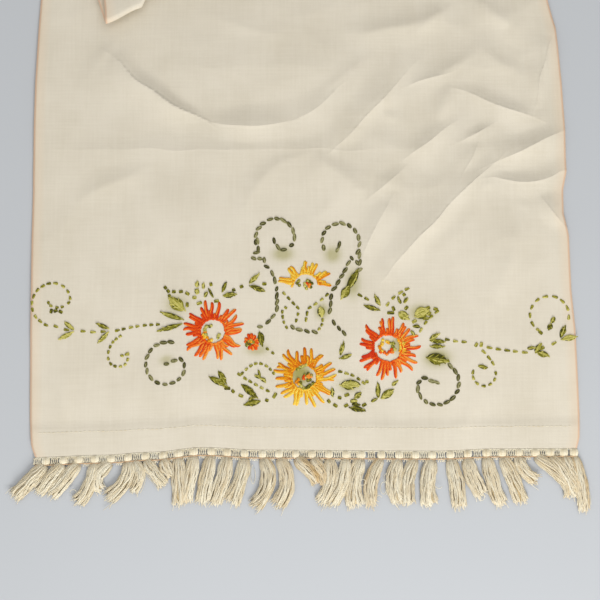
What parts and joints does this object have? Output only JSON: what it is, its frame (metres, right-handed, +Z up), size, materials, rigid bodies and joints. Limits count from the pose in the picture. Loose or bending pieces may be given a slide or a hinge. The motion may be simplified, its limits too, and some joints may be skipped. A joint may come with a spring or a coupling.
{
  "type": "embroidered table runner",
  "caption": "Fringed cotton table runner with embroidered flower borders, lying folded back and forth once in its middle, for dressing a table or sideboard.",
  "frame": {"origin": "middle of the runner's footprint, on the surface it lies on", "axes": "+Y from the near fringe to the far fringe, +Z up, +X to the right of someone at the near end"},
  "size_m": [0.4112, 0.8202, 0.0126],
  "materials": {
    "cloth": "plain woven unbleached cotton, washed and creased",
    "fringe": "soft untwisted cotton yarn, slightly yellowed",
    "orange_thread": "stranded embroidery cotton, slightly glossy, shaded red to orange",
    "gold_thread": "stranded embroidery cotton, slightly glossy, shaded orange to yellow",
    "green_thread": "stranded embroidery cotton, slightly glossy, shaded olive to dark green"
  },
  "bodies": {
    "root": {"cloth": "cloth", "fringe_near": "fringe", "fringe_far": "fringe"}
  },
  "joints": []
}
